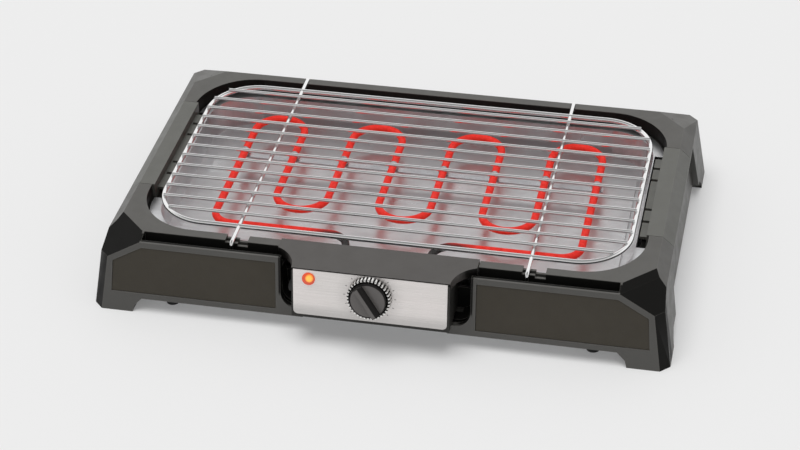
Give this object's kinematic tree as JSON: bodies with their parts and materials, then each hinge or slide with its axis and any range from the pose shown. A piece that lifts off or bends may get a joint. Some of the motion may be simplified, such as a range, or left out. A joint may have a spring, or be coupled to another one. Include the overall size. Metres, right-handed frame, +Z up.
{
  "type": "electric indoor grill",
  "caption": "Low black countertop electric grill with a wire rack over a serpentine heating element, a lift-out drip tray and a front control unit with a knob and a pilot lamp.",
  "frame": {"origin": "middle of the whole object on the surface it stands on", "axes": "+X along the front towards its right end, +Y to the back, +Z up; the knob faces -Y"},
  "size_m": [0.561, 0.3824, 0.0839],
  "materials": {
    "black_plastic": "satin moulded",
    "panel_plastic": "fine textured",
    "rubber": "matte",
    "zinc_steel": "zinc plated",
    "tray_aluminium": "bright pressed",
    "brushed_plate": "brushed",
    "pilot_orange": "clear orange",
    "lamp_glass": "clear",
    "knob_plastic": "satin",
    "chrome": "polished",
    "ceramic": "unglazed",
    "element_red": "glowing hot sheath",
    "wire_insulation": "glass sleeve",
    "block_plastic": "moulded"
  },
  "bodies": {
    "housing": {"body_shell": "black_plastic", "left_handle": "black_plastic", "right_handle": "black_plastic", "front_left_panel": "panel_plastic", "front_right_panel": "panel_plastic", "base_plate": "zinc_steel", "rubber_feet": "rubber", "handle_screws": "zinc_steel", "base_screws": "zinc_steel"},
    "tray": {"drip_tray": "tray_aluminium"},
    "control_unit": {"control_box": "black_plastic", "control_cover": "black_plastic", "face_plate": "brushed_plate", "pilot_lens": "pilot_orange", "pilot_lamp": "lamp_glass", "thermostat": "zinc_steel", "thermostat_nut": "zinc_steel", "terminal_block": "block_plastic", "cord_gland": "rubber", "cord_clamp": "block_plastic", "leads": "wire_insulation", "heating_element": "element_red", "element_pins": "zinc_steel", "element_seals": "ceramic", "element_shield": "zinc_steel", "element_brace": "zinc_steel", "control_screws": "zinc_steel"},
    "knob": {"thermostat_shaft": "zinc_steel", "knob": "knob_plastic", "knob_ring": "chrome"},
    "rack": {"rack_frame": "chrome", "rack_bars": "chrome", "rack_cross_wires": "chrome"}
  },
  "joints": [
    {"name": "tray_lift", "type": "slide", "parent": "housing", "child": "tray", "axis": [0, 0, 1], "range_m": [0, 0.06]},
    {"name": "control_lift", "type": "slide", "parent": "tray", "child": "control_unit", "axis": [0, 0, 1], "range_m": [0, 0.08]},
    {"name": "knob_turn", "type": "hinge", "parent": "control_unit", "child": "knob", "pos_m": [0, -0.174, 0.0595], "axis": [0, 0.9889, -0.1483], "range_deg": [0, 270]},
    {"name": "rack_lift", "type": "slide", "parent": "control_unit", "child": "rack", "axis": [0, 0, 1], "range_m": [0, 0.06]}
  ]
}
